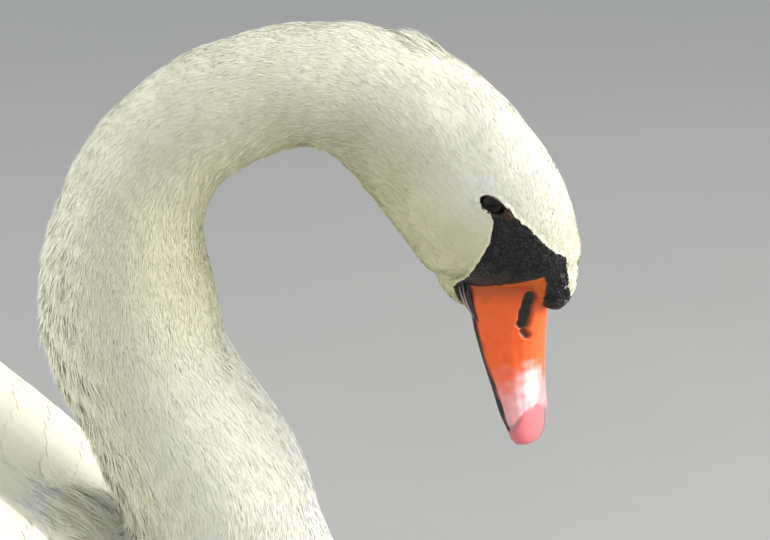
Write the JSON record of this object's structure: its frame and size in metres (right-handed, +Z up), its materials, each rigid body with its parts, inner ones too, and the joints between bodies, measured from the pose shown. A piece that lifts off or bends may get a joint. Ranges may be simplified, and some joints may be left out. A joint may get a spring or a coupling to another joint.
{
  "type": "mute swan",
  "caption": "Life-size still model of an adult male mute swan resting on its belly, neck arched, bill pointing down, wings folded and feet tucked under.",
  "frame": {"origin": "on the floor, under the middle of the bird's bounding box", "axes": "+X from tail to breast, the way the trunk faces; +Z up; +Y to the bird's left"},
  "size_m": [0.879, 0.3616, 0.4635],
  "materials": {
    "body_feathers": "pure white overlapping feathers, soft and matt",
    "neck_feathers": "short velvety feathers, cream white with a faint yellow-green tint",
    "bill_horn": "orange horn, satin, with a pink nail and a worn pale patch near the tip",
    "face_skin": "black bare skin with a fine pebbled grain",
    "eye": "very dark brown, wet and glossy",
    "leg_skin": "dark grey scaly skin with thin webs"
  },
  "bodies": {
    "root": {"trunk": "body_feathers", "tail": "body_feathers", "wing_left": "body_feathers", "wing_right": "body_feathers", "neck_lower": "neck_feathers", "neck_middle": "neck_feathers", "neck_upper": "neck_feathers", "head": "neck_feathers", "bill_upper": "bill_horn", "bill_lower": "face_skin", "knob": "face_skin", "eye_left": "eye", "eye_right": "eye", "leg_left": "leg_skin", "leg_right": "leg_skin", "foot_left": "leg_skin", "foot_right": "leg_skin"}
  },
  "joints": []
}
